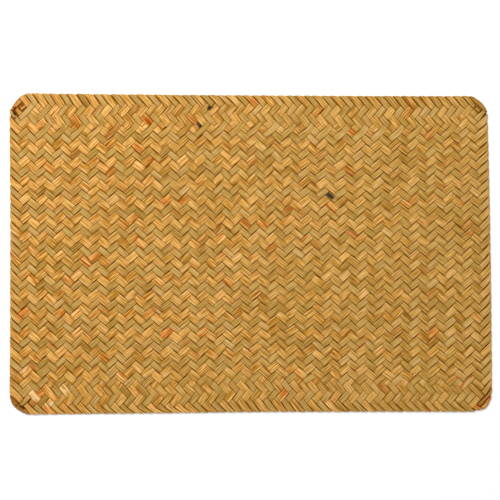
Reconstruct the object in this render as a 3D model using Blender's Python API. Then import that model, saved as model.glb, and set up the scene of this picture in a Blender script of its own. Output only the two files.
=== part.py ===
"""A hand-plaited placemat of pandanus leaf strips, lying flat.

The mat is one sheet. Its strips run on the diagonal and fold over at the edge, which leaves a soft,
rounded rim with a small scallop at each fold. As plaited by hand it is a little longer on its left
side than on its right, its sides bow slightly, and its corners are rounded.

Metres, +Z up, X along the mat's length, Y across it. The origin is on the surface that the mat lies
on, under the middle of its bounding box.
"""

import math

import bmesh
import bpy
from mathutils import Vector

MM = 0.001

# The sheet
NEAR_SIDE = 451.0 * MM
FAR_SIDE = 446.5 * MM
LEFT_SIDE = 301.0 * MM
RIGHT_SIDE = 295.0 * MM
THICKNESS = 2.0 * MM

# How far the middle of each side lies inside the line between its corners
NEAR_BOW = 1.0 * MM
RIGHT_BOW = -0.8 * MM
FAR_BOW = 1.0 * MM
LEFT_BOW = 0.9 * MM

# Each corner's rounding
NEAR_LEFT_RADIUS = 21.0 * MM
NEAR_RIGHT_RADIUS = 19.0 * MM
FAR_RIGHT_RADIUS = 19.5 * MM
FAR_LEFT_RADIUS = 20.5 * MM
CORNER_STEPS = 10

# The rim: one scallop for each strip that folds over at the edge
FOLD_PITCH_LONG = 8.26 * MM
FOLD_PITCH_SHORT = 8.92 * MM
SCALLOP_DEPTH = 0.4 * MM
SCALLOP_STEPS = 3
RIM_ROUNDING = 0.75 * MM
RIM_SEGMENTS = 2

WELD_DISTANCE = 0.01 * MM
LEAF_COLOUR = (0.50, 0.27, 0.066, 1.0)
LEAF_ROUGHNESS = 0.5


def clear_scene():
    """Remove whatever the scene holds."""
    for obj in list(bpy.data.objects):
        bpy.data.objects.remove(obj, do_unlink=True)


def mat_collection():
    """A collection named for the object."""
    collection = bpy.data.collections.new("pandanus_mat")
    bpy.context.scene.collection.children.link(collection)
    return collection


def leaf_material():
    """Dried, flattened pandanus leaf: tan, with a soft natural gloss."""
    material = bpy.data.materials.new("pandanus_leaf")
    material.use_nodes = True
    shader = material.node_tree.nodes["Principled BSDF"]
    shader.inputs["Base Color"].default_value = LEAF_COLOUR
    shader.inputs["Roughness"].default_value = LEAF_ROUGHNESS
    shader.inputs["Metallic"].default_value = 0.0
    return material


def sharp_corners():
    """The outline's corners before rounding, anticlockwise from near left."""
    near_left = Vector((0, -LEFT_SIDE / 2))
    near_right = Vector((NEAR_SIDE, -RIGHT_SIDE / 2))
    far_right = Vector((FAR_SIDE, RIGHT_SIDE / 2))
    far_left = Vector((0, LEFT_SIDE / 2))
    return near_left, near_right, far_right, far_left


def side_points(first, last, bow, pitch):
    """Points between first and last, where the side's roundings end, with a scallop for each fold."""
    along = (last - first).normalized()
    inward = Vector((-along.y, along.x))
    length = (last - first).length
    steps = round(length / pitch) * SCALLOP_STEPS
    points = []
    for step in range(1, steps):
        share = step / steps
        bowed = 4 * bow * share * (1 - share)
        notch = 1 - abs(math.sin(math.pi * step / SCALLOP_STEPS))
        points.append(first + along * length * share + inward * (bowed + SCALLOP_DEPTH * notch))
    return points


def corner_points(corner, before, after, radius):
    """An arc that rounds the corner between the sides that come from before and lead to after."""
    first = corner - (corner - before).normalized() * radius
    last = corner + (after - corner).normalized() * radius
    centre = first + last - corner
    points = []
    for step in range(CORNER_STEPS + 1):
        turn = math.pi / 2 * step / CORNER_STEPS
        points.append(centre + (first - centre) * math.cos(turn) + (last - centre) * math.sin(turn))
    return points


def centred(points):
    """The points, moved so that their bounding box has its middle at the origin."""
    xs = [point.x for point in points]
    ys = [point.y for point in points]
    middle = Vector((min(xs) + max(xs), min(ys) + max(ys))) / 2
    return [point - middle for point in points]


def outline_points():
    """The whole outline, anticlockwise, as a closed run of points."""
    corners = sharp_corners()
    radii = (NEAR_LEFT_RADIUS, NEAR_RIGHT_RADIUS, FAR_RIGHT_RADIUS, FAR_LEFT_RADIUS)
    bows = (NEAR_BOW, RIGHT_BOW, FAR_BOW, LEFT_BOW)
    pitches = (FOLD_PITCH_LONG, FOLD_PITCH_SHORT, FOLD_PITCH_LONG, FOLD_PITCH_SHORT)
    arcs = []
    for index, corner in enumerate(corners):
        after = corners[(index + 1) % len(corners)]
        arcs.append(corner_points(corner, corners[index - 1], after, radii[index]))
    points = []
    for index, arc in enumerate(arcs):
        next_arc = arcs[(index + 1) % len(arcs)]
        points += arc
        points += side_points(arc[-1], next_arc[0], bows[index], pitches[index])
    return centred(points)


def raise_sheet(sheet, outline):
    """Lay a filled ring of points on the outline and raise it to the sheet's thickness."""
    ring = bmesh.ops.create_circle(sheet, cap_ends=True, segments=len(outline), radius=1.0)["verts"]
    for vertex, point in zip(ring, outline):
        vertex.co = (point.x, point.y, 0)
    raised = bmesh.ops.extrude_face_region(sheet, geom=sheet.faces[:], use_keep_orig=True)["geom"]
    lifted = [item for item in raised if isinstance(item, bmesh.types.BMVert)]
    bmesh.ops.translate(sheet, verts=lifted, vec=(0, 0, THICKNESS))
    bmesh.ops.recalc_face_normals(sheet, faces=sheet.faces)


def round_rim(sheet):
    """Round the sheet's upper and lower rims, as the folded strips do."""
    rims = [edge for edge in sheet.edges if abs(edge.verts[0].co.z - edge.verts[1].co.z) < WELD_DISTANCE]
    bmesh.ops.bevel(
        sheet,
        geom=rims,
        offset=RIM_ROUNDING,
        segments=RIM_SEGMENTS,
        profile=0.5,
        affect="EDGES",
        material=-1,
    )
    bmesh.ops.remove_doubles(sheet, verts=sheet.verts, dist=WELD_DISTANCE)


def make_mat(collection):
    """The sheet as one solid: its outline raised to the thickness, with a rounded rim."""
    sheet = bmesh.new()
    raise_sheet(sheet, outline_points())
    round_rim(sheet)
    mesh = bpy.data.meshes.new("pandanus_mat")
    sheet.to_mesh(mesh)
    sheet.free()
    mesh.shade_smooth()
    mesh.set_sharp_from_angle(angle=math.radians(50))
    mesh.materials.append(leaf_material())
    collection.objects.link(bpy.data.objects.new("pandanus_mat", mesh))


def main():
    """Clear the scene and make the mat."""
    clear_scene()
    make_mat(mat_collection())


main()
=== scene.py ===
"""The looks of a hand-plaited pandanus placemat, lying flat and seen from straight above.

The mat is plaited on the diagonal from strips of dried leaf. Rising strips run from near left to far
right, falling strips from far left to near right, and each passes over two and under two. Where a
strip reaches the rim on top of the others it folds round the rim and tucks in underneath.

A place in the weave is given by two lattice numbers: the column, counted in half strips from the left
side, and the row, counted in half strips from the far side. A rising strip keeps the sum of the two
within one of twice its own number, and a falling strip keeps row minus column there. Two strips cross
wherever column and row are whole numbers with an even sum.
"""

import logging
import math
from dataclasses import dataclass, field
from enum import Enum
from typing import Union

import bmesh
import bpy
import numpy as np
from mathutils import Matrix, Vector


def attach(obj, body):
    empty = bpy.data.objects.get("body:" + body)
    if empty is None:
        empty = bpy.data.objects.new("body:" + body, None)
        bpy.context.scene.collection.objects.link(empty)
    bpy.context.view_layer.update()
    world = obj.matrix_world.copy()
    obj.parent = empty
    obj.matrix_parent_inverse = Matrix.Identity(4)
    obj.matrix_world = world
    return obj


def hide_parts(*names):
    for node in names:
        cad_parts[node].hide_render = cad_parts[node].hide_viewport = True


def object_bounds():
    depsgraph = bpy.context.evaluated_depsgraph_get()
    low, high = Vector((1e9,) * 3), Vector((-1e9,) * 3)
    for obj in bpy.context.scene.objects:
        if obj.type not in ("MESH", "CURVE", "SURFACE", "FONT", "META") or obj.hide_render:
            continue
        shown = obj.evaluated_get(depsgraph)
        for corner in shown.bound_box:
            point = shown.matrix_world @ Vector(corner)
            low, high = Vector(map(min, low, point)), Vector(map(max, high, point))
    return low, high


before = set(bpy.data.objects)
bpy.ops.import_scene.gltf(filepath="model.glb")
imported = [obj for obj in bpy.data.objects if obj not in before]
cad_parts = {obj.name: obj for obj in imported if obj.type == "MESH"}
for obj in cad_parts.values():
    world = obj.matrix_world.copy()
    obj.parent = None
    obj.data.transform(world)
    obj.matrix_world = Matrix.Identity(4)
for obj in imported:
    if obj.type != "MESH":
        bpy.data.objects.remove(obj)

MM = 0.001
MAT_NODE = "pandanus_mat"
CAD_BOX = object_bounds()
LOG = logging.getLogger("pandanus_mat")

Array = np.ndarray
Colour = tuple[float, float, float]
Crossing = tuple[int, int]
Band = tuple[float, float]
Socket = bpy.types.NodeSocket


class Direction(Enum):
    """Which way a strip runs, seen from above with the far side up."""

    RISING = "rising"
    FALLING = "falling"


class Tone(Enum):
    """The two tones of leaf that the maker plaits in turn."""

    GOLDEN = "golden"
    KHAKI = "khaki"


# Strips whose tone is out of turn, where the maker took two of one tone in a row
OUT_OF_TURN = {Direction.RISING: (53, 54), Direction.FALLING: (14, 15)}


def tone_of(direction: Direction, number: int) -> Tone:
    """The tone of a strip, as the two tones alternate but for a few strips."""
    odd = number % 2 == 1
    return Tone.GOLDEN if odd != (number in OUT_OF_TURN[direction]) else Tone.KHAKI


def smooth_step(values: Array) -> Array:
    """Ease the values from 0 to 1 and hold them there."""
    held = np.clip(values, 0.0, 1.0)
    return held * held * (3.0 - 2.0 * held)


def zigzag(values: Array) -> Array:
    """A straight zigzag of period 4: -1 at 0, 1 at 2 and -1 again at 4."""
    return 1.0 - np.abs(np.mod(values, 4.0) - 2.0)


def graded(at_left: float, at_right: float, right: Array | float) -> Array | float:
    """A value that changes evenly from the left side, at 0, to the right side, at 1."""
    return at_left + (at_right - at_left) * right


# How sharply the pull on a corner fades towards the middle of its arc
CORNER_PULL = 1.5


@dataclass(frozen=True)
class Corner:
    """One rounded corner of the mat.

    The lattice meets a corner in a straight cut along the edge of a strip, and plaiting pulls that cut
    round.
    """

    radius: float
    cut: float
    at_right: bool
    at_near: bool

    def pulled_round(self, across: Array, down: Array) -> tuple[Array, Array]:
        """Pull points near the corner in, so that the cut corner of the lattice becomes an arc.

        Args:
            across: distances from the corner's own upright side.
            down: distances from the corner's own level side.

        Returns:
            The same points as two arrays of distances, moved towards the arc's centre or away from it.
        """
        towards = np.maximum(self.radius - across, 0.0)
        below = np.maximum(self.radius - down, 0.0)
        reach = np.hypot(towards, below)
        inside = (towards > 0.0) & (below > 0.0)
        safe = np.where(inside, reach, 1.0)
        cosine = np.where(inside, towards / safe, 1.0)
        sine = np.where(inside, below / safe, 1.0)
        to_sides = self.radius / np.maximum(cosine, sine)
        to_cut = (2.0 * self.radius - self.cut) / (cosine + sine)
        to_edge = np.minimum(to_sides, to_cut)
        share = np.minimum(reach / to_edge, 1.0)
        scale = 1.0 + (self.radius / to_edge - 1.0) * share**CORNER_PULL
        new_across = self.radius - towards * scale
        new_down = self.radius - below * scale
        return np.where(inside, new_across, across), np.where(inside, new_down, down)


@dataclass(frozen=True)
class Sheet:
    """The mat's outline, with the sizes of the CAD solid, and the surface inside it."""

    left_end: float
    near_side: float = 451.0 * MM
    far_side: float = 446.5 * MM
    left_side: float = 301.0 * MM
    right_side: float = 295.0 * MM
    near_bow: float = 1.0 * MM
    right_bow: float = -0.8 * MM
    far_bow: float = 1.0 * MM
    left_bow: float = 0.9 * MM
    corners: tuple[Corner, ...] = (
        Corner(radius=20.5 * MM, cut=12.5 * MM, at_right=False, at_near=False),
        Corner(radius=19.5 * MM, cut=8.4 * MM, at_right=True, at_near=False),
        Corner(radius=21.0 * MM, cut=12.5 * MM, at_right=False, at_near=True),
        Corner(radius=19.0 * MM, cut=8.4 * MM, at_right=True, at_near=True),
    )

    @property
    def length(self) -> float:
        """The mean length from left to right."""
        return (self.near_side + self.far_side) / 2

    @property
    def width(self) -> float:
        """The mean length from the far side to the near side."""
        return (self.left_side + self.right_side) / 2

    def placed(self, across: Array, down: Array) -> tuple[Array, Array]:
        """Lay points of a plain rectangle of the mean sizes on the real, uneven sheet.

        Args:
            across: distances from the left side.
            down: distances from the far side.

        Returns:
            The x and y of each point in the shared frame.
        """
        for corner in self.corners:
            from_side = self.length - across if corner.at_right else across
            from_level = self.width - down if corner.at_near else down
            new_side, new_level = corner.pulled_round(from_side, from_level)
            across = self.length - new_side if corner.at_right else new_side
            down = self.width - new_level if corner.at_near else new_level
        right = across / self.length
        near = down / self.width
        bow_across = 4.0 * right * (1.0 - right)
        bow_down = 4.0 * near * (1.0 - near)
        x = self.left_end + right * (self.far_side * (1.0 - near) + self.near_side * near)
        x = x + bow_down * (self.left_bow * (1.0 - right) - self.right_bow * right)
        y = (1.0 - 2.0 * near) * (self.left_side * (1.0 - right) + self.right_side * right) / 2
        y = y + bow_across * (self.near_bow * near - self.far_bow * (1.0 - near))
        return x, y


def spline_weights(places: Array, spans: int) -> Array:
    """How much each control value of a smooth curve counts at each place.

    Args:
        places: places along the curve, from 0 to 1.
        spans: the number of equal spans of the curve, which has three more control values.

    Returns:
        The weights, with one more axis for the control values.
    """
    away = np.abs(places[..., None] * spans + 1.0 - np.arange(spans + 3))
    near = (4.0 - 6.0 * away**2 + 3.0 * away**3) / 6.0
    far = (2.0 - away) ** 3 / 6.0
    return np.where(away < 1.0, near, np.where(away < 2.0, far, 0.0))


@dataclass(frozen=True)
class Drift:
    """How far hand plaiting lets the strips drift from straight lines, as two smooth random surfaces."""

    spans_right: int = 8
    spans_near: int = 5
    spread: float = 2.6 * MM
    rim: float = 7.5 * MM
    seed: int = 11

    def at(self, right: Array, near: Array) -> tuple[Array, Array]:
        """The drift at places on the sheet.

        Args:
            right: places from the left side, at 0, to the right side, at 1.
            near: places from the far side, at 0, to the near side, at 1.

        Returns:
            The shifts to the right and towards the near side.
        """
        chance = np.random.default_rng(self.seed)
        weights_near = spline_weights(near, self.spans_near)
        weights_right = spline_weights(right, self.spans_right)
        size = (2, weights_near.shape[-1], weights_right.shape[-1])
        values = chance.normal(0.0, self.spread, size)
        shifts = np.einsum("...j,...i,sji->s...", weights_near, weights_right, values)
        return shifts[0], shifts[1]


@dataclass(frozen=True)
class Parting:
    """A place where the strips part and leave a small hole, and how much they shrink there."""

    column: float
    row: float
    shrink: float
    reach: float = 1.1


# Where the corners leave the border's pattern, as the maker turned the strips in
CORNER_RISING = frozenset(
    {(1, 3), (2, 2), (3, 5), (7, 5), (4, 6), (104, 6), (4, 62), (3, 63), (7, 63)}
    | {(102, 62), (104, 66), (106, 66), (108, 66), (107, 67)}
)
CORNER_FALLING = frozenset(
    {(6, 4), (5, 7), (106, 4), (107, 3), (109, 3), (105, 7), (5, 61), (6, 64), (10, 64)}
    | {(105, 61), (106, 64)}
)
PARTINGS = (
    Parting(3.0, 2.7, 0.42),
    Parting(1.3, 4.2, 0.62, 1.4),
    Parting(107.2, 2.6, 0.40),
    Parting(108.3, 4.1, 0.48),
    Parting(2.4, 65.2, 0.34),
    Parting(4.4, 65.4, 0.28),
    Parting(106.9, 65.3, 0.46),
    Parting(108.0, 63.8, 0.42),
    Parting(105.4, 66.6, 0.30),
)


@dataclass(frozen=True)
class Weave:
    """The lattice of crossings: how many there are, which strip is on top, and where each lies."""

    sheet: Sheet
    drift: Drift
    columns: int = 109
    rows: int = 68
    border_rows: int = 8
    border_pitch: float = 4.2 * MM
    field_sway: float = 1.0 * MM
    border_sway: float = 0.6 * MM
    sway_fade: float = 3.0
    far_left_cut: int = 3
    near_left_cut: int = 3
    far_right_cut: int = 2
    near_right_cut: int = 2
    left_extra: float = 0.17
    right_extra: float = 0.06
    rising_exceptions: frozenset[Crossing] = CORNER_RISING
    falling_exceptions: frozenset[Crossing] = CORNER_FALLING
    partings: tuple[Parting, ...] = PARTINGS

    @property
    def column_pitch(self) -> float:
        """The width of half a column."""
        return self.sheet.length / self.columns

    @property
    def half_strip(self) -> float:
        """Half the width of an even strip, which crosses the columns at 45 degrees."""
        return self.column_pitch * math.sqrt(0.5)

    def rising_on_top(self, column: int, row: int) -> bool:
        """Say which strip is on top where two cross.

        Args:
            column: the crossing's column, in half strips from the left side.
            row: the crossing's row, in half strips from the far side.

        Returns:
            True where the rising strip is on top and False where the falling strip is.
        """
        if (column, row) in self.rising_exceptions:
            return True
        if (column, row) in self.falling_exceptions:
            return False
        rows_in = min(row, self.rows - row)
        if rows_in <= 2 or column <= 2:
            return False
        if column >= self.columns - 2 or rows_in in (3, 4, 7):
            return True
        if rows_in in (5, 6):
            return False
        return column % 4 in (0, 3)

    def numbers(self, direction: Direction) -> tuple[int, int]:
        """The numbers of the first and the last strip of a direction, which run along cut corners.

        Args:
            direction: the strips' direction.

        Returns:
            The first number and the last.
        """
        if direction is Direction.RISING:
            last = self.columns + self.rows - self.near_right_cut - 1
            return (self.far_left_cut + 1) // 2, last // 2
        return (self.far_right_cut + 1 - self.columns) // 2, (self.rows - self.near_left_cut - 1) // 2

    def extra(self, direction: Direction, number: int, column: Array) -> Array:
        """How much wider than an even strip one strip is, as the golden ones are cut wider.

        Args:
            direction: the strip's direction.
            number: the strip's number.
            column: columns of the places that it is asked for.

        Returns:
            The extra width at each place, as a share of an even strip's.
        """
        sign = 1.0 if tone_of(direction, number) is Tone.GOLDEN else -1.0
        right = np.clip(column / self.columns, 0.0, 1.0)
        return sign * graded(self.left_extra, self.right_extra, right)

    def parted(self, column: Array, row: Array) -> Array:
        """How much of its width a strip keeps at each place, as it shrinks from the partings.

        Args:
            column: columns of the places.
            row: rows of the same places.

        Returns:
            The share of the width that is left.
        """
        kept = np.ones_like(column)
        for parting in self.partings:
            away = np.hypot(column - parting.column, row - parting.row) / parting.reach
            kept = kept - parting.shrink * np.exp(-(away**2))
        return kept

    def depth_of(self, row: Array) -> Array:
        """The distance from the far side of each row, on the plain rectangle.

        Args:
            row: rows, which may lie a little outside the mat.

        Returns:
            The distance of each.
        """
        near_border = self.rows - self.border_rows
        beyond = 10
        marks = np.array([-beyond, 0, self.border_rows, near_border, self.rows, self.rows + beyond])
        border = self.border_rows * self.border_pitch
        margin = beyond * self.border_pitch
        width = self.sheet.width
        depths = np.array([-margin, 0.0, border, width - border, width, width + margin])
        return np.interp(row, marks, depths)

    def sway(self, column: Array, row: Array) -> tuple[Array, Array]:
        """How far a float leans out of the lattice.

        Inside the border each float lies flatter than the lattice, and in the border it lies steeper.

        Args:
            column: columns of the points on the strip's middle line.
            row: rows of the same points.

        Returns:
            The shifts to the right and away from the viewer.
        """
        rows_in = np.minimum(row, self.rows - row)
        in_field = smooth_step((rows_in - self.border_rows + self.sway_fade) / self.sway_fade)
        from_sides = np.minimum(column, self.columns - column)
        in_border = (1.0 - in_field) * smooth_step((from_sides - 2.0) / self.sway_fade)
        side = np.where(row < self.rows / 2, 1.0, -1.0)
        right = self.border_sway * in_border * side * zigzag(rows_in + 1.5)
        away = self.field_sway * in_field * zigzag(column - 0.5)
        return right, away

    def drifted(self, across: Array, down: Array) -> tuple[Array, Array]:
        """Let the strips drift from their straight lines, but not over the rim.

        Args:
            across: distances from the left side.
            down: distances from the far side.

        Returns:
            The same points where the plaiting has put them.
        """
        length, width = self.sheet.length, self.sheet.width
        shift_right, shift_near = self.drift.at(across / length, down / width)
        hold_right = np.clip(np.minimum(across, length - across) / self.drift.rim, 0.0, 1.0)
        hold_near = np.clip(np.minimum(down, width - down) / self.drift.rim, 0.0, 1.0)
        return across + hold_right * shift_right, down + hold_near * shift_near

    def placed(self, column: Array, row: Array, middle: tuple[Array, Array]) -> tuple[Array, Array]:
        """Place points of the lattice in the shared frame.

        Args:
            column: columns of the points.
            row: rows of the points.
            middle: columns and rows of the points that the sway is read at.

        Returns:
            The x and y of each point.
        """
        right, away = self.sway(*middle)
        across = column * self.column_pitch + right
        down = self.depth_of(row) - away
        return self.sheet.placed(*self.drifted(across, down))


@dataclass(frozen=True)
class Leaf:
    """The sizes of one strip of dried leaf and of the way it passes over and under."""

    thickness: float = 0.70 * MM
    level: float = 0.41 * MM
    middle_height: float = 0.95 * MM
    arch: float = 0.10 * MM
    crown: float = 0.07 * MM
    half_width_on_top: float = 0.975
    half_width_under: float = 0.99
    shares_across: tuple[float, ...] = (-1.0, -0.8, 0.0, 0.8, 1.0)
    rim_share: float = 0.91
    lean_share: float = 0.5
    dive: float = 0.14
    stations: tuple[float, ...] = (-0.86, -0.28, 0.28, 0.86)
    section_spacing: float = 0.7
    fold_steps: int = 5
    scallop: float = 0.4 * MM
    tuck: float = 0.7 * MM
    short_stop: float = 0.35 * MM
    curl: float = 0.5 * MM

    @property
    def rim(self) -> float:
        """How far inside the mat's outline a fold begins."""
        return self.level + self.thickness / 2


@dataclass
class Float:
    """A stretch of a strip between two dives: its place along the strip and its looks."""

    start: float
    stop: float
    on_top: bool
    places: list[int]
    light: float = 0.0
    warmth: float = 0.0
    veins: float = 0.0
    stain: float = 0.0
    char: float = 0.0
    # share of painted highlight streaks on this float
    highlight_share: float = 0.0


@dataclass(frozen=True)
class Surface:
    """A strip's points in rows across it, with the float, the share of painted shade beside a dive and the
    fold of each row.
    """

    points: Array
    crease_shades: Array
    folds: Array
    owners: list[Float]

    def along(self) -> Array:
        """The distance of each row from the strip's first end, down its middle line.

        Returns:
            The distances.
        """
        middle = self.points[:, self.points.shape[1] // 2]
        steps = np.linalg.norm(np.diff(middle, axis=0), axis=1)
        return np.concatenate([[0.0], np.cumsum(steps)])


# How far a strip has to reach into its first or last crossing for that crossing to count
LEAST_COVER = 0.1
# The least step between two sections at a strip's end, as a share of a half strip
END_CREEP = 0.01
# How fast the painted shade beside a dive fades along the float
CREASE_SHADE_REACH = 7.0
# How far from the mat's middle height the tucked end lies, as a share of the fold's height
TUCK_RISE = 0.9


@dataclass
class Strip:
    """One strip of leaf: where it runs, and where it passes over and under."""

    weave: Weave
    leaf: Leaf
    direction: Direction
    number: int
    floats: list[Float] = field(init=False)
    starts: Array = field(init=False)
    stops: Array = field(init=False)

    def __post_init__(self) -> None:
        """Find the strip's two ends and its floats."""
        starts, stops = self.meets(self.leaf.rim, np.array(self.leaf.shares_across))
        first = 2 * math.floor((float(starts.min()) + 1.0 + LEAST_COVER) / 2)
        last = 2 * math.floor((float(stops.max()) + 1.0 - LEAST_COVER) / 2)
        self.floats = []
        for place in range(first, last + 1, 2):
            on_top = self.on_top(place)
            if self.floats and self.floats[-1].on_top == on_top:
                self.floats[-1].stop = self.boundary(place + 1)
                self.floats[-1].places.append(place)
            else:
                start, stop = self.boundary(place - 1), self.boundary(place + 1)
                self.floats.append(Float(start, stop, on_top, [place]))
        self.starts, self.stops = self.ends(self.leaf.rim)
        short_starts, short_stops = self.ends(self.leaf.rim + self.leaf.short_stop)
        if not self.floats[0].on_top:
            self.starts = short_starts
        if not self.floats[-1].on_top:
            self.stops = short_stops

    @property
    def rising(self) -> bool:
        """Whether this is a rising strip."""
        return self.direction is Direction.RISING

    def lattice(self, along: Array, across: Array) -> tuple[Array, Array]:
        """Columns and rows of points on the strip.

        Args:
            along: places along the strip, which grow to the right.
            across: places across it, from -1 to 1.

        Returns:
            The columns and the rows.
        """
        centre = 2.0 * self.number + across
        if self.rising:
            return (centre + along) / 2, (centre - along) / 2
        return (along - centre) / 2, (along + centre) / 2

    def crossing(self, place: int) -> Crossing:
        """The column and row of the crossing at an even place along the strip."""
        if self.rising:
            return self.number + place // 2, self.number - place // 2
        return place // 2 - self.number, place // 2 + self.number

    def on_top(self, place: int) -> bool:
        """Whether this strip is the upper one at the crossing at this place."""
        return self.weave.rising_on_top(*self.crossing(place)) == self.rising

    def boundary(self, place: int) -> float:
        """Where the strip may change sides: at the edge that the two strips it crosses next share.

        Args:
            place: the odd place half way between the crossings.

        Returns:
            The place of that edge along the strip.
        """
        other = Direction.FALLING if self.rising else Direction.RISING
        column = self.lattice(np.array(float(place)), np.array(0.0))[0]
        extras = []
        for neighbour in (place - 1, place + 1):
            at_column, at_row = self.crossing(neighbour)
            number = (at_row - at_column) // 2 if self.rising else (at_column + at_row) // 2
            extras.append(float(self.weave.extra(other, number, column)))
        return place + (extras[0] - extras[1]) / 2

    def spread(self, shares: Array, column: Array) -> Array:
        """Places across the strip, from its shares of the strip's own width.

        Args:
            shares: places across the strip, from -1 at one edge to 1 at the other.
            column: the columns of the same places.

        Returns:
            The places across it in the lattice, where an even strip's edges lie at -1 and 1.
        """
        own, before, after = (
            self.weave.extra(self.direction, self.number + step, column) for step in (0, -1, 1)
        )
        return shares * (1.0 + (own - np.where(shares < 0.0, before, after)) / 2)

    def ends(self, inset: float) -> tuple[Array, Array]:
        """Where the strip ends, for each place across it.

        Args:
            inset: how far inside the mat's outline the strip ends.

        Returns:
            The places along the strip of its left end and of its right end.
        """
        shares = np.array(self.leaf.shares_across)
        found = []
        for index, middle in enumerate(self.meets(inset, np.zeros_like(shares))):
            column = self.lattice(middle, np.zeros_like(shares))[0]
            found.append(self.meets(inset, self.spread(shares, column))[index])
        return found[0], found[1]

    def meets(self, inset: float, across: Array) -> tuple[Array, Array]:
        """Where lines along the strip meet the rim.

        Args:
            inset: how far inside the mat's outline the rim is taken to be.
            across: the place across the strip of each line.

        Returns:
            The places along the strip of each line's left end and of its right end.
        """
        weave = self.weave
        centre = 2.0 * self.number + across
        side = 2.0 * inset / weave.column_pitch
        level = 2.0 * inset / weave.border_pitch
        cut = inset * math.hypot(1.0 / weave.column_pitch, 1.0 / weave.border_pitch)
        width, height = 2.0 * weave.columns, 2.0 * weave.rows
        if self.rising:
            starts = [side - centre, centre - height + level, weave.near_left_cut - weave.rows + cut]
            stops = [width - side - centre, centre - level, weave.columns - weave.far_right_cut - cut]
        else:
            starts = [side + centre, level - centre, weave.far_left_cut + cut]
            far_cut = weave.columns + weave.rows - weave.near_right_cut - cut
            stops = [width - side + centre, height - level - centre, far_cut]
        low = np.maximum(np.maximum(starts[0], starts[1]), starts[2])
        high = np.minimum(np.minimum(stops[0], stops[1]), stops[2])
        return low, high

    def sections(self) -> tuple[Array, list[Float]]:
        """The strip's cross-sections in order.

        Returns:
            A place along the strip for each section and each place across it, and each section's float.
        """
        rows: list[Array] = []
        owners: list[Float] = []
        dive = self.leaf.dive
        last = len(self.floats) - 1
        level = np.ones_like(self.starts)
        for index, part in enumerate(self.floats):
            opens = self.starts if index == 0 else level * (part.start + dive)
            closes = self.stops if index == last else level * (part.stop - dive)
            if index in (0, last):
                span = float(np.mean(closes - opens))
                steps = max(2, math.ceil(span / self.leaf.section_spacing))
                places = [opens + (closes - opens) * step / steps for step in range(steps + 1)]
            else:
                places = [level * at for place in part.places for at in self.stations_at(place)]
            rows += places
            owners += [part] * len(places)
        along = np.array(rows)
        order = np.arange(len(rows))[:, None] * END_CREEP
        along = np.maximum(along, self.starts[None, :] + order)
        along = np.minimum(along, self.stops[None, :] - order[::-1])
        return along, owners

    def stations_at(self, place: int) -> list[float]:
        """Where the strip is shaped between the two edges of the strip that it crosses at a place."""
        low, high = self.boundary(place - 1), self.boundary(place + 1)
        return [(low + high) / 2 + station * (high - low) / 2 for station in self.leaf.stations]

    def share_of(self, part: Float, place: float) -> float:
        """How far along one of its floats a place on the strip is, from 0 to 1.

        Args:
            part: the float.
            place: the place along the strip.

        Returns:
            The share of the float that lies before it.
        """
        start = float(self.starts.mean()) if part is self.floats[0] else part.start
        stop = float(self.stops.mean()) if part is self.floats[-1] else part.stop
        return min(1.0, max(0.0, (place - start) / max(stop - start, 0.1)))

    def surface(self, irregular: "Irregularity") -> Surface:
        """Shape the strip: over and under the others, and round the rim at each end that is on top.

        Args:
            irregular: how this strip differs from an even one.

        Returns:
            The strip's surface, before it is given its thickness.
        """
        leaf = self.leaf
        along, owners = self.sections()
        shares = np.array(leaf.shares_across)[None, :]
        side = np.array([1.0 if part.on_top else -1.0 for part in owners])[:, None]
        half_width = np.where(side > 0.0, leaf.half_width_on_top, leaf.half_width_under)
        kept = np.where(side > 0.0, self.weave.parted(*self.lattice(along, np.zeros_like(along))), 1.0)
        at_rim = np.array([part in (self.floats[0], self.floats[-1]) for part in owners])[:, None]
        kept = kept * np.where(at_rim & (side > 0.0), leaf.rim_share, 1.0)
        spread = self.spread(shares, self.lattice(along, np.zeros_like(along))[0])
        across = spread * half_width * kept * irregular.width(along) + irregular.stray(along)
        middle = self.lattice(along, across * leaf.lean_share)
        x, y = self.weave.placed(*self.lattice(along, across), middle)
        reach = np.array([self.share_of(part, place) for part, place in zip(owners, along.mean(axis=1))])
        reach = reach[:, None]
        lift = leaf.level + leaf.arch * np.sin(math.pi * reach) - leaf.crown * shares**2
        z = np.maximum(leaf.middle_height + side * lift - self.curled(shares), leaf.thickness / 2)
        crossings = np.array([(part.stop - part.start) / 2 for part in owners])[:, None]
        # share of painted shade, strongest where the strip dives under the next one
        crease_shades = np.clip(1.0 - np.minimum(reach, 1.0 - reach) * crossings * CREASE_SHADE_REACH, 0.0, 1.0)
        surface = Surface(np.stack([x, y, z], axis=2), crease_shades[:, 0], np.zeros(len(owners)), owners)
        if self.floats[0].on_top:
            surface = self.folded(surface, at_start=True)
        if self.floats[-1].on_top:
            surface = self.folded(surface, at_start=False)
        return surface

    def curled(self, shares: Array) -> Array:
        """How far the outer edge of a strip that runs along a cut corner curls down.

        Args:
            shares: places across the strip, from -1 to 1.

        Returns:
            How far each of them is lowered.
        """
        first, last = self.weave.numbers(self.direction)
        outer = np.zeros_like(shares)
        if self.number == first:
            outer = np.clip(-shares, 0.0, 1.0)
        if self.number == last:
            outer = np.clip(shares, 0.0, 1.0)
        return self.leaf.curl * np.clip((outer - 0.5) * 2.0, 0.0, 1.0)

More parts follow.
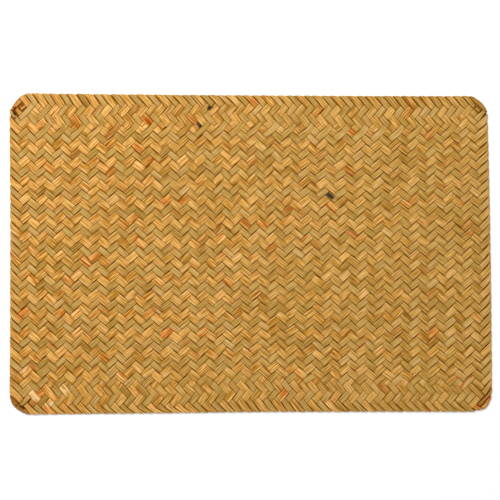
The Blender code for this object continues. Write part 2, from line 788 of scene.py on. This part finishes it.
    def folded(self, surface: Surface, at_start: bool) -> Surface:
        """Carry one end of the strip round the rim and tuck it in underneath.

        Args:
            surface: the strip as far as the rim.
            at_start: whether the end is the strip's left one.

        Returns:
            The surface with the fold added.
        """
        leaf = self.leaf
        end, inner = (0, 2) if at_start else (-1, -3)
        edge = surface.points[end]
        run = np.gradient(edge[:, :2], axis=0)
        outward = np.stack([run[:, 1], -run[:, 0]], axis=1)
        outward /= np.linalg.norm(outward, axis=1)[:, None]
        inward = surface.points[inner][:, :2] - edge[:, :2]
        outward *= -np.sign((outward * inward).sum(axis=1))[:, None]
        shares = np.array(leaf.shares_across)[:, None]
        rim = edge[:, :2] - outward * leaf.scallop * np.abs(shares) ** 3
        height = edge[:, 2:] - leaf.middle_height
        rows = []
        for step in range(leaf.fold_steps + 1):
            turn = math.pi * step / leaf.fold_steps
            flat = rim + outward * leaf.level * math.sin(turn)
            rows.append(np.hstack([flat, leaf.middle_height + height * math.cos(turn)]))
        tucked = rim - outward * leaf.tuck
        rows.append(np.hstack([tucked, leaf.middle_height - height * TUCK_RISE]))
        owners = [surface.owners[end]] * (len(rows) - 1)
        none, full = np.zeros(len(owners)), np.ones(len(owners))
        if at_start:
            points = np.concatenate([np.array(rows[::-1]), surface.points[1:]])
            crease_shades = np.concatenate([none, surface.crease_shades])
            folds = np.concatenate([full, surface.folds])
            return Surface(points, crease_shades, folds, owners + surface.owners)
        points = np.concatenate([surface.points[:-1], np.array(rows)])
        crease_shades = np.concatenate([surface.crease_shades, none])
        folds = np.concatenate([surface.folds, full])
        return Surface(points, crease_shades, folds, surface.owners + owners)


@dataclass(frozen=True)
class Irregularity:
    """How one strip differs from an even one, as split leaf does."""

    slimness: float
    slim_length: float
    slim_phase: float
    stray_by: float
    stray_length: float
    stray_phase: float

    @classmethod
    def drawn(cls, chance: np.random.Generator) -> "Irregularity":
        """Draw one strip's differences.

        Args:
            chance: where they are drawn from.

        Returns:
            The differences.
        """
        return cls(
            slimness=float(chance.uniform(0.0, 0.07)),
            slim_length=float(chance.uniform(2.0, 9.0)),
            slim_phase=float(chance.uniform(0.0, 2.0 * math.pi)),
            stray_by=float(chance.uniform(0.01, 0.05)),
            stray_length=float(chance.uniform(3.0, 9.0)),
            stray_phase=float(chance.uniform(0.0, 2.0 * math.pi)),
        )

    def width(self, along: Array) -> Array:
        """The strip's width at each place, as a share of its full width."""
        return 1.0 - self.slimness * (0.5 + 0.5 * np.sin(along / self.slim_length + self.slim_phase))

    def stray(self, along: Array) -> Array:
        """How far the strip lies off its line at each place, as a share of half its width."""
        return self.stray_by * np.sin(along / self.stray_length + self.stray_phase)


class Mark(Enum):
    """What sets a float apart from its neighbours."""

    PALE = "pale"
    DARK = "dark"
    RUSTY = "rusty"
    GOLDEN = "golden"
    KHAKI = "khaki"
    GLOSSY = "highlighted"
    CHARRED = "charred"


# Floats that stand out at the corners and where the leaf is charred, each named by one of its crossings
MARKED_FLOATS = {
    Mark.PALE: frozenset({(6, 64), (4, 58), (9, 65), (4, 66)}),
    Mark.DARK: frozenset({(1, 3), (2, 66)}),
    Mark.RUSTY: frozenset({(3, 3), (1, 3), (2, 66), (5, 65), (10, 64), (102, 62), (105, 67), (108, 66)}),
    # floats that get painted highlight streaks
    Mark.GLOSSY: frozenset({(5, 63), (6, 64), (12, 62), (9, 65), (4, 58)}),
    Mark.CHARRED: frozenset({(43, 7), (45, 3), (46, 4), (73, 21), (74, 22)}),
    Mark.GOLDEN: frozenset({(4, 60), (1, 3), (108, 66)}),
    Mark.KHAKI: frozenset({(4, 62), (8, 58)}),
}
# How the marks of all other floats that stand out are shared out by chance
MARK_SHARES = {Mark.PALE: 0.38, Mark.DARK: 0.20, Mark.RUSTY: 0.30, Mark.GOLDEN: 0.06, Mark.KHAKI: 0.06}


@dataclass(frozen=True)
class Colouring:
    """How the colour of the leaf changes from strip to strip and from float to float."""

    left_contrast: float = 0.9
    right_contrast: float = 0.20
    right_cast: float = -0.5
    strip_warmth: float = 0.16
    float_warmth: float = 0.28
    strip_light: float = 0.09
    float_light: float = 0.09
    stained_share: float = 0.05
    mark_light: float = 0.45
    pale_veins: float = 0.8
    rust_veins: float = 1.0
    rust_stain: float = 1.8
    # how much lighter the floats with painted highlights are
    highlight_light: float = 0.4
    left_lean: float = 0.12
    right_lean: float = -0.16
    left_marked: float = 0.11
    right_marked: float = 0.03

    def colour(self, strip: Strip, chance: np.random.Generator) -> None:
        """Give each float of a strip its looks.

        Args:
            strip: the strip, whose floats are changed.
            chance: where the differences are drawn from.
        """
        warmth = float(chance.normal(0.0, self.strip_warmth))
        light = float(chance.normal(0.0, self.strip_light))
        veined = float(chance.beta(1.2, 2.6))
        golden = 1.0 if tone_of(strip.direction, strip.number) is Tone.GOLDEN else -1.0
        for part in strip.floats:
            middle = np.array((part.start + part.stop) / 2)
            column = float(strip.lattice(middle, np.array(0.0))[0])
            right = min(1.0, max(0.0, column / strip.weave.columns))
            contrast = graded(self.left_contrast, self.right_contrast, right)
            cast = self.right_cast * right + warmth + float(chance.normal(0.0, self.float_warmth))
            part.warmth = golden * contrast + cast
            lean = graded(self.left_lean, self.right_lean, right) * (-1.0 if strip.rising else 1.0)
            part.light = light + float(chance.normal(0.0, self.float_light)) + lean
            part.veins = veined * float(chance.uniform(0.4, 1.6))
            part.stain = float(chance.uniform(0.5, 1.0)) if chance.uniform() < self.stained_share else 0.0
            marked = graded(self.left_marked, self.right_marked, right)
            drawn = int(chance.choice(len(MARK_SHARES), p=list(MARK_SHARES.values())))
            by_chance = {list(MARK_SHARES)[drawn]} if chance.uniform() < marked else set()
            if part.on_top:
                self.mark(part, self.known(strip, part) or by_chance)

    def known(self, strip: Strip, part: Float) -> set[Mark]:
        """The marks of a float that is named as one that stands out."""
        seen = {strip.crossing(place) for place in part.places}
        return {mark for mark, crossings in MARKED_FLOATS.items() if seen & crossings}

    def mark(self, part: Float, marks: set[Mark]) -> None:
        """Change the looks of a float that stands out on the mat.

        Args:
            part: the float, which is changed.
            marks: what sets it apart.
        """
        if Mark.PALE in marks:
            part.light, part.veins = self.mark_light, self.pale_veins
        if Mark.DARK in marks:
            part.light = -self.mark_light
        if Mark.RUSTY in marks:
            part.stain, part.veins = self.rust_stain, self.rust_veins
        # painted highlight: a lighter float with whitish streaks
        if Mark.GLOSSY in marks:
            part.light, part.highlight_share = self.highlight_light, 1.0
        if Mark.CHARRED in marks:
            part.char = 1.0
        if Mark.GOLDEN in marks:
            part.warmth = self.left_contrast
        if Mark.KHAKI in marks:
            part.warmth = -self.left_contrast


class Value:
    """A number in a node tree, which sums and products can be written with."""

    def __init__(self, graph: "Graph", socket: Socket) -> None:
        """Wrap an output socket."""
        self.graph = graph
        self.socket = socket

    def maths(self, operation: str, *numbers: "Number", clamp: bool = False) -> "Value":
        """Add a Math node.

        Args:
            operation: the node's operation.
            numbers: its inputs in order.
            clamp: whether the result is held between 0 and 1.

        Returns:
            The node's result.
        """
        node = self.graph.node(
            "ShaderNodeMath",
            {"operation": operation, "use_clamp": clamp},
            dict(enumerate(numbers)),
        )
        return Value(self.graph, node.outputs[0])

    def __add__(self, other: "Number") -> "Value":
        """Add."""
        return self.maths("ADD", self, other)

    __radd__ = __add__

    def __sub__(self, other: "Number") -> "Value":
        """Subtract."""
        return self.maths("SUBTRACT", self, other)

    def __rsub__(self, other: "Number") -> "Value":
        """Subtract from a number."""
        return self.maths("SUBTRACT", other, self)

    def __mul__(self, other: "Number") -> "Value":
        """Multiply."""
        return self.maths("MULTIPLY", self, other)

    __rmul__ = __mul__

    def __truediv__(self, other: "Number") -> "Value":
        """Divide."""
        return self.maths("DIVIDE", self, other)

    def absolute(self) -> "Value":
        """The value without its sign."""
        return self.maths("ABSOLUTE", self)

    def held(self) -> "Value":
        """The value held between 0 and 1."""
        return self.maths("ADD", self, 0.0, clamp=True)

    def between(self, low: float, high: float) -> "Value":
        """Ease from 0 at low to 1 at high, which may be the smaller of the two.

        Args:
            low: the value that gives 0.
            high: the value that gives 1.

        Returns:
            The eased value.
        """
        node = self.graph.node(
            "ShaderNodeMapRange",
            {"interpolation_type": "SMOOTHSTEP"},
            {"Value": self, "From Min": low, "From Max": high},
        )
        return Value(self.graph, node.outputs["Result"])


Number = Union[Value, float]
Link = Union[Value, Socket, float, tuple]


class Graph:
    """A material's node tree, with short ways to add to it."""

    def __init__(self, name: str) -> None:
        """Make the material, with a Principled shader."""
        self.material = bpy.data.materials.new(name)
        self.material.use_nodes = True
        self.tree = self.material.node_tree
        self.shader = self.tree.nodes["Principled BSDF"]

    def node(
        self,
        kind: str,
        settings: dict[str, str | bool],
        sockets: dict[str | int, Link],
    ) -> bpy.types.Node:
        """Add a node.

        Args:
            kind: the node's type.
            settings: its settings, which are set before its sockets.
            sockets: a value or a link for each input that isn't left as it is.

        Returns:
            The node.
        """
        node = self.tree.nodes.new(kind)
        for name, value in settings.items():
            setattr(node, name, value)
        for name, value in sockets.items():
            self.feed(node.inputs[name], value)
        return node

    def feed(self, socket: Socket, value: Link) -> None:
        """Give an input socket its value or its link.

        Args:
            socket: the input.
            value: what it gets.
        """
        if isinstance(value, Value):
            value = value.socket
        if isinstance(value, Socket):
            self.tree.links.new(value, socket)
        else:
            socket.default_value = value

    def attribute(self, name: str) -> bpy.types.Node:
        """The node that reads one of the piece's own attributes."""
        return self.node("ShaderNodeAttribute", {"attribute_type": "GEOMETRY", "attribute_name": name}, {})

    def number(self, name: str) -> Value:
        """One of the piece's own attributes as a number."""
        return Value(self, self.attribute(name).outputs["Fac"])

    def mix(self, share: Number, first: Link, second: Link, blend: str = "MIX") -> Socket:
        """Mix two colours.

        Args:
            share: how much of the second there is.
            first: the colour at 0.
            second: the colour at 1.
            blend: the way they are mixed.

        Returns:
            The mixed colour.
        """
        settings = {"data_type": "RGBA", "blend_type": blend, "clamp_factor": True}
        return self.node("ShaderNodeMix", settings, {0: share, 6: first, 7: second}).outputs[2]

    def vector(self, operation: str, first: Link, second: Link) -> Socket:
        """Add a Vector Math node and give its vector."""
        return self.node("ShaderNodeVectorMath", {"operation": operation}, {0: first, 1: second}).outputs[0]

    def noise(self, place: Link, detail: float) -> Value:
        """Noise at a place, from 0 to 1 with its middle at a half.

        Args:
            place: the scaled place.
            detail: how many finer layers the noise has.

        Returns:
            The noise.
        """
        sockets = {"Vector": place, "Scale": 1.0, "Detail": detail}
        node = self.node("ShaderNodeTexNoise", {"noise_dimensions": "3D"}, sockets)
        return Value(self, node.outputs["Fac"])


@dataclass(frozen=True)
class Spot:
    """A small round place on the mat: its column and row in the weave, and its radius in millimetres."""

    column: float
    row: float
    radius: float


@dataclass(frozen=True)
class Pattern:
    """A noise pattern drawn out along the fibres: its sizes on the strip in millimetres, and its seed."""

    along: float
    across: float
    offset: float
    detail: float = 1.0


@dataclass(frozen=True)
class DriedLeaf:
    """The finish of the strips: dried pandanus leaf with long fibres, veins and stains, a little specular
    shine, and painted shade and painted highlights in its colour.
    """

    weave: Weave
    khaki: Colour = (0.441, 0.256, 0.051)
    golden: Colour = (0.613, 0.310, 0.053)
    shade_tint: Colour = (0.52, 0.38, 0.03)
    # tint of the lighter parts: partly pale leaf, partly painted highlight
    pale_and_highlight_tint: Colour = (1.30, 1.49, 2.9)
    vein_tint: Colour = (0.66, 0.40, 0.12)
    rust_tint: Colour = (0.98, 0.64, 0.42)
    # colour of the painted shade along the strips' edges and between the layers
    gap_shade_tint: Colour = (0.36, 0.22, 0.0)
    soot_tint: Colour = (0.10, 0.12, 0.30)
    hollow_shade_tint: Colour = (0.26, 0.10, 0.12)
    # near-white colour of the painted highlight streaks
    painted_glint: Colour = (0.92, 0.72, 0.42)
    specular: float = 0.06
    roughness: float = 0.46
    roughness_swing: float = 0.4
    bump_height: float = 0.12 * MM
    bump_strength: float = 0.9
    ridge_bump: float = 0.8
    fibres: Pattern = Pattern(11.0, 0.50, 3.0)
    ribs: Pattern = Pattern(26.0, 0.70, 11.0)
    ridges: Pattern = Pattern(20.0, 0.60, 23.0)
    clouds: Pattern = Pattern(7.0, 3.5, 37.0, 2.0)
    cloud_warmth: float = 0.6
    cloud_light: float = 0.5
    least_contrast: float = 0.55
    fibre_light: float = 6.6
    ridge_band: Band = (0.52, 0.64)
    ridge_light: float = 0.25
    light_shift: float = -0.05
    vein_band: Band = (0.52, 0.60)
    vein_strength: float = 1.3
    least_vein: float = 0.15
    stain_band: Band = (0.46, 0.58)
    stain_ribs: float = 0.4
    # where the painted highlight streaks lie and how strong they are
    shine_ribs: Band = (0.46, 0.56)
    shine_clouds: Band = (0.40, 0.56)
    shine_strength: float = 0.7
    # painted shade along the strips' long edges, beside each dive and deep between the layers
    edge_band: Band = (0.89, 0.99)
    edge_shade: float = 0.48
    crease_shade_strength: float = 0.07
    inside_band: Band = (0.80, 0.45)
    inside_shade: float = 0.95
    char_strength: float = 0.92
    hollow_shade_strength: float = 0.85
    strip_step: float = 7.31
    offset_ratios: tuple[float, float, float] = (1.0, 1.7, 0.3)
    spot_height: float = 1.5 * MM
    spot_core: float = 0.4
    scorches: tuple[Spot, ...] = (
        Spot(43.25, 6.75, 3.4),
        Spot(43.75, 7.25, 3.6),
        Spot(45.5, 3.25, 2.8),
        Spot(46.0, 2.75, 3.2),
        Spot(46.5, 2.0, 2.8),
        Spot(72.5, 20.5, 3.0),
        Spot(73.0, 21.0, 3.2),
        Spot(73.5, 21.5, 3.0),
    )
    # dark spots of painted shade in the small holes between the strips at the corners
    hollows: tuple[Spot, ...] = (
        Spot(1.0, 3.25, 2.4),
        Spot(1.25, 4.5, 2.6),
        Spot(1.25, 5.5, 1.9),
        Spot(1.75, 1.0, 2.0),
        Spot(3.0, 2.75, 1.9),
        Spot(106.5, 2.5, 1.8),
        Spot(1.5, 65.5, 1.6),
        Spot(0.0, 64.0, 1.4),
        Spot(2.5, 65.75, 1.9),
        Spot(3.0, 66.25, 1.9),
    )
    leaf: Leaf = Leaf()

    def noise(self, graph: Graph, pattern: Pattern) -> Value:
        """A pattern that is drawn out along the fibres and differs on each strip.

        Args:
            graph: the material's node tree.
            pattern: the pattern's sizes.

        Returns:
            The pattern, from 0 to 1.
        """
        grain = graph.attribute("leaf_grain").outputs["Vector"]
        scales = (1.0 / pattern.along, 1.0 / pattern.across, self.strip_step)
        offsets = tuple(pattern.offset * ratio for ratio in self.offset_ratios)
        place = graph.vector("ADD", graph.vector("MULTIPLY", grain, scales), offsets)
        return graph.noise(place, pattern.detail)

    def spotted(self, graph: Graph, spots: tuple[Spot, ...]) -> Value:
        """Where the spots lie, from 0 to 1.

        Args:
            graph: the material's node tree.
            spots: the spots.

        Returns:
            How deep in a spot a place is.
        """
        place = graph.node("ShaderNodeTexCoord", {}, {}).outputs["Object"]
        total: Number = 0.0
        for spot in spots:
            column, row = np.array(spot.column), np.array(spot.row)
            x, y = self.weave.placed(column, row, (column, row))
            centre = (float(x), float(y), self.spot_height)
            away = graph.node("ShaderNodeVectorMath", {"operation": "DISTANCE"}, {0: place, 1: centre})
            radius = spot.radius * MM
            total = total + Value(graph, away.outputs["Value"]).between(radius, self.spot_core * radius)
        return total

    def edge(self, graph: Graph) -> Value:
        """How near the strip's long edges a place is, from 0 to 1.

        Args:
            graph: the material's node tree.

        Returns:
            The nearness.
        """
        grain = graph.attribute("leaf_grain").outputs["Vector"]
        across = graph.node("ShaderNodeSeparateXYZ", {}, {0: grain}).outputs["Y"]
        return (Value(graph, across).absolute() / (self.weave.half_strip / MM)).between(*self.edge_band)

    def inside(self, graph: Graph) -> Value:
        """How deep between the strips a place is, from 0 on the mat's two faces to 1 in its middle.

        Args:
            graph: the material's node tree.

        Returns:
            The depth, which is 0 on the folds round the rim.
        """
        place = graph.node("ShaderNodeTexCoord", {}, {}).outputs["Object"]
        height = Value(graph, graph.node("ShaderNodeSeparateXYZ", {}, {0: place}).outputs["Z"])
        away = (height - self.leaf.middle_height).absolute() / (self.leaf.level + self.leaf.thickness / 2)
        return away.between(*self.inside_band) * (1.0 - graph.number("leaf_fold"))

    def tinted(self, graph: Graph, share: Number, colour: Link, tint: Colour) -> Socket:
        """Multiply a share of the colour by a tint."""
        return graph.mix(share, colour, (*tint, 1.0), "MULTIPLY")

    def material(self, tone: Tone) -> bpy.types.Material:
        """Make the finish for one tone of leaf.

        Args:
            tone: which of the two tones.

        Returns:
            The material.
        """
        graph = Graph(f"{tone.value}_pandanus_leaf")
        fibre, ridges = self.noise(graph, self.fibres), self.noise(graph, self.ridges)
        ribs, cloud = self.noise(graph, self.ribs), self.noise(graph, self.clouds)
        colour = self.grown(graph, fibre, ridges, ribs, cloud)
        colour = self.stained_and_highlighted(graph, ribs, cloud, colour)
        graph.feed(graph.shader.inputs["Base Color"], self.shaded(graph, colour))
        graph.feed(graph.shader.inputs["Roughness"], self.roughness + (fibre - 0.5) * self.roughness_swing)
        graph.feed(graph.shader.inputs["Specular IOR Level"], self.specular)
        height = fibre + ridges * self.ridge_bump
        sockets = {"Strength": self.bump_strength, "Distance": self.bump_height, "Height": height}
        bump = graph.node("ShaderNodeBump", {}, sockets)
        graph.feed(graph.shader.inputs["Normal"], bump.outputs["Normal"])
        return graph.material

    def grown(self, graph: Graph, fibre: Value, ridges: Value, ribs: Value, cloud: Value) -> Socket:
        """The leaf's colour: its tone, streaked light and dark along the fibres, with painted highlight in
        the lightest parts, and its veins.

        Args:
            graph: the material's node tree.
            fibre: the fine fibres.
            ridges: the ridges.
            ribs: the ribs.
            cloud: the broad patches.

        Returns:
            The colour.
        """
        warmth, light, veins = (graph.number(f"leaf_{name}") for name in ("warmth", "light", "veins"))
        golden = (warmth * 0.5 + 0.5 + (cloud - 0.5) * self.cloud_warmth).held()
        contrast = self.least_contrast + golden * (1.0 - self.least_contrast)
        raised = ridges.between(*self.ridge_band) * (veins + self.ridge_light)
        streaks = (fibre - 0.5) * self.fibre_light + raised + self.light_shift
        amount = light + streaks * contrast + (cloud - 0.5) * self.cloud_light
        colour = graph.mix(golden, (*self.khaki, 1.0), (*self.golden, 1.0))
        colour = self.tinted(graph, (-1.0 * amount).held(), colour, self.shade_tint)
        # lightening: partly real pale leaf and pale floats, partly painted highlight
        colour = self.tinted(graph, amount.held(), colour, self.pale_and_highlight_tint)
        vein = ribs.between(*self.vein_band) * (veins * self.vein_strength + self.least_vein) * contrast
        return self.tinted(graph, vein.held(), colour, self.vein_tint)

    def stained_and_highlighted(self, graph: Graph, ribs: Value, cloud: Value, colour: Socket) -> Socket:
        """Add the rusty stains, and the painted highlight streaks of the floats that have them.

        Args:
            graph: the material's node tree.
            ribs: the ribs.
            cloud: the broad patches.
            colour: the leaf's own colour.

        Returns:
            The colour with them.
        """
        patches = (ribs * self.stain_ribs + cloud * (1.0 - self.stain_ribs)).between(*self.stain_band)
        colour = self.tinted(graph, graph.number("leaf_stain") * patches, colour, self.rust_tint)
        # painted highlight: whitish streaks along the ribs of the marked floats
        painted_shine = ribs.between(*self.shine_ribs) * cloud.between(*self.shine_clouds) * self.shine_strength
        return graph.mix(graph.number("leaf_highlight_share") * painted_shine, colour, (*self.painted_glint, 1.0))

    def shaded(self, graph: Graph, colour: Socket) -> Socket:
        """Paint shade on the strips' long edges and in the gaps between them, beside the dives, deep
        between the layers and in the small holes at the corners, and darken the charred places.

        Args:
            graph: the material's node tree.
            colour: the colour in full light.

        Returns:
            The darkened colour.
        """
        # painted shade: along the strips' edges, beside each dive and deep between the layers, all in the
        # gap colour
        crease_shade = graph.number("leaf_crease_shade") * self.crease_shade_strength
        dark = self.edge(graph) * self.edge_shade + crease_shade + self.inside(graph) * self.inside_shade
        colour = self.tinted(graph, dark.held(), colour, self.gap_shade_tint)
        char = self.spotted(graph, self.scorches) * graph.number("leaf_char") * self.char_strength
        colour = self.tinted(graph, char.held(), colour, self.soot_tint)
        # painted shade in the small holes at the corners
        hollow_shade = self.spotted(graph, self.hollows) * self.hollow_shade_strength
        return self.tinted(graph, hollow_shade.held(), colour, self.hollow_shade_tint)


# The looks that a float gives to all its points, named as its own fields are
FLOAT_LOOKS = ("warmth", "light", "veins", "stain", "char", "highlight_share")
# All looks that the points carry, with the two that change along a float
LOOKS = (*FLOAT_LOOKS, "crease_shade", "fold")


@dataclass
class LeafStrips:
    """All the strips of one direction and one tone, plaited into the mat as one piece."""

    weave: Weave
    leaf: Leaf
    finish: DriedLeaf
    colouring: Colouring
    direction: Direction
    tone: Tone
    seed: int = 4
    seed_shift: int = 100

    @property
    def name(self) -> str:
        """The piece's name."""
        return f"{self.direction.value}_{self.tone.value}_strips"

    def build(self) -> bpy.types.Object:
        """Make the piece, dress it, attach it to the root body and hide the CAD part.

        Returns:
            The piece.
        """
        shape = bmesh.new()
        grain = shape.verts.layers.float_vector.new("leaf_grain")
        looks = {name: shape.verts.layers.float.new(f"leaf_{name}") for name in LOOKS}
        first, last = self.weave.numbers(self.direction)
        for number in range(first, last + 1):
            chance = np.random.default_rng([self.seed, self.rank(), number + self.seed_shift])
            if tone_of(self.direction, number) is not self.tone:
                continue
            strip = Strip(self.weave, self.leaf, self.direction, number)
            self.colouring.colour(strip, chance)
            surface = strip.surface(Irregularity.drawn(chance))
            self.lay(shape, surface, number, grain, looks)
        mesh = bpy.data.meshes.new(self.name)
        shape.to_mesh(mesh)
        shape.free()
        mesh.shade_smooth()
        mesh.materials.append(self.finish.material(self.tone))
        piece = bpy.data.objects.new(self.name, mesh)
        bpy.context.scene.collection.objects.link(piece)
        solid = piece.modifiers.new("leaf thickness", "SOLIDIFY")
        solid.thickness = self.leaf.thickness
        solid.offset = 0.0
        self.declare(piece)
        return piece

    def rank(self) -> int:
        """The place of the strips' direction, which keeps its random draws apart."""
        return list(Direction).index(self.direction)

    def lay(
        self,
        shape: bmesh.types.BMesh,
        surface: Surface,
        number: int,
        grain: bmesh.types.BMLayerItem,
        looks: dict[str, bmesh.types.BMLayerItem],
    ) -> None:
        """Lay one strip's surface in the piece.

        Args:
            shape: the piece so far.
            surface: the strip's surface.
            number: the strip's number.
            grain: the layer for the place along and across the leaf.
            looks: the layers for the strip's looks, by name.
        """
        rows, places = surface.points.shape[:2]
        verts = bmesh.ops.create_grid(shape, x_segments=places - 1, y_segments=rows - 1, size=1.0)["verts"]
        along = surface.along() / MM
        half_strip = self.weave.half_strip / MM
        for index, vert in enumerate(verts):
            row, place = divmod(index, places)
            part = surface.owners[row]
            vert.co = surface.points[row, place]
            vert[grain] = (along[row], self.leaf.shares_across[place] * half_strip, float(number))
            for name in FLOAT_LOOKS:
                vert[looks[name]] = getattr(part, name)
            vert[looks["crease_shade"]] = surface.crease_shades[row]
            vert[looks["fold"]] = surface.folds[row]

    def declare(self, piece: bpy.types.Object) -> None:
        """Attach the piece to the root body and hide the CAD part that it stands in for.

        Args:
            piece: the piece.
        """
        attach(piece, "root")
        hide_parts(MAT_NODE)
        sheet = self.weave.sheet
        sheet.width
        sheet.width * sheet.length / 2


@dataclass(frozen=True)
class PaleFloor:
    """The plain white surface that the mat lies on."""

    size: float = 4.0
    colour: Colour = (0.93, 0.93, 0.93)
    roughness: float = 0.9

    def build(self) -> bpy.types.Object:
        """Make the floor and leave it out of the object.

        Returns:
            The floor.
        """
        shape = bmesh.new()
        bmesh.ops.create_grid(shape, x_segments=1, y_segments=1, size=self.size / 2)
        mesh = bpy.data.meshes.new("floor")
        shape.to_mesh(mesh)
        shape.free()
        graph = Graph("white_floor")
        graph.feed(graph.shader.inputs["Base Color"], (*self.colour, 1.0))
        graph.feed(graph.shader.inputs["Roughness"], self.roughness)
        mesh.materials.append(graph.material)
        floor = bpy.data.objects.new("floor", mesh)
        bpy.context.scene.collection.objects.link(floor)
        return floor


@dataclass(frozen=True)
class StudioLight:
    """Soft studio light: a white surround and one large lamp beyond the far left corner."""

    surround: float = 0.75
    white: Colour = (1.0, 1.0, 1.0)
    lamp_power: float = 16.0
    lamp_size: float = 0.7
    lamp_place: tuple[float, float, float] = (-0.45, 0.95, 1.05)

    def build(self) -> None:
        """Light the scene."""
        world = bpy.data.worlds.new("studio")
        world.use_nodes = True
        background = world.node_tree.nodes["Background"]
        background.inputs["Color"].default_value = (*self.white, 1.0)
        background.inputs["Strength"].default_value = self.surround
        bpy.context.scene.world = world
        lamp = bpy.data.lights.new("far_left_lamp", "AREA")
        lamp.energy = self.lamp_power
        lamp.size = self.lamp_size
        holder = bpy.data.objects.new("far_left_lamp", lamp)
        holder.location = self.lamp_place
        holder.rotation_euler = (-holder.location).to_track_quat("-Z", "Y").to_euler()
        bpy.context.scene.collection.objects.link(holder)


@dataclass(frozen=True)
class OverheadCamera:
    """The camera straight above the mat, as in the photograph."""

    frame_width: float = 466.8 * MM
    lens: float = 85.0
    sensor: float = 36.0
    right: float = -0.42 * MM
    away: float = 3.45 * MM
    surface: float = 1.5 * MM

    def build(self) -> None:
        """Make the camera and set the plain colour transform."""
        data = bpy.data.cameras.new("overhead")
        data.lens = self.lens
        data.sensor_width = self.sensor
        camera = bpy.data.objects.new("overhead", data)
        height = self.frame_width * self.lens / self.sensor
        camera.location = (self.right, self.away, self.surface + height)
        bpy.context.scene.collection.objects.link(camera)
        bpy.context.scene.camera = camera
        bpy.context.scene.view_settings.view_transform = "Standard"


def report(piece: bpy.types.Object) -> None:
    """Log a piece's name and how many triangles it has.

    Args:
        piece: the piece.
    """
    shown = piece.evaluated_get(bpy.context.evaluated_depsgraph_get())
    mesh = shown.to_mesh()
    mesh.calc_loop_triangles()
    LOG.info("%s: %d triangles", piece.name, len(mesh.loop_triangles))
    shown.to_mesh_clear()


def main() -> None:
    """Build the mat strip by strip, then the floor, the light and the camera."""
    logging.basicConfig(level=logging.INFO, format="%(name)s: %(message)s")
    sheet = Sheet(left_end=CAD_BOX[0].x)
    weave = Weave(sheet, Drift())
    for direction in Direction:
        for tone in Tone:
            strips = LeafStrips(weave, Leaf(), DriedLeaf(weave), Colouring(), direction, tone)
            report(strips.build())
    PaleFloor().build()
    StudioLight().build()
    OverheadCamera().build()


if __name__ == "__main__":
    main()
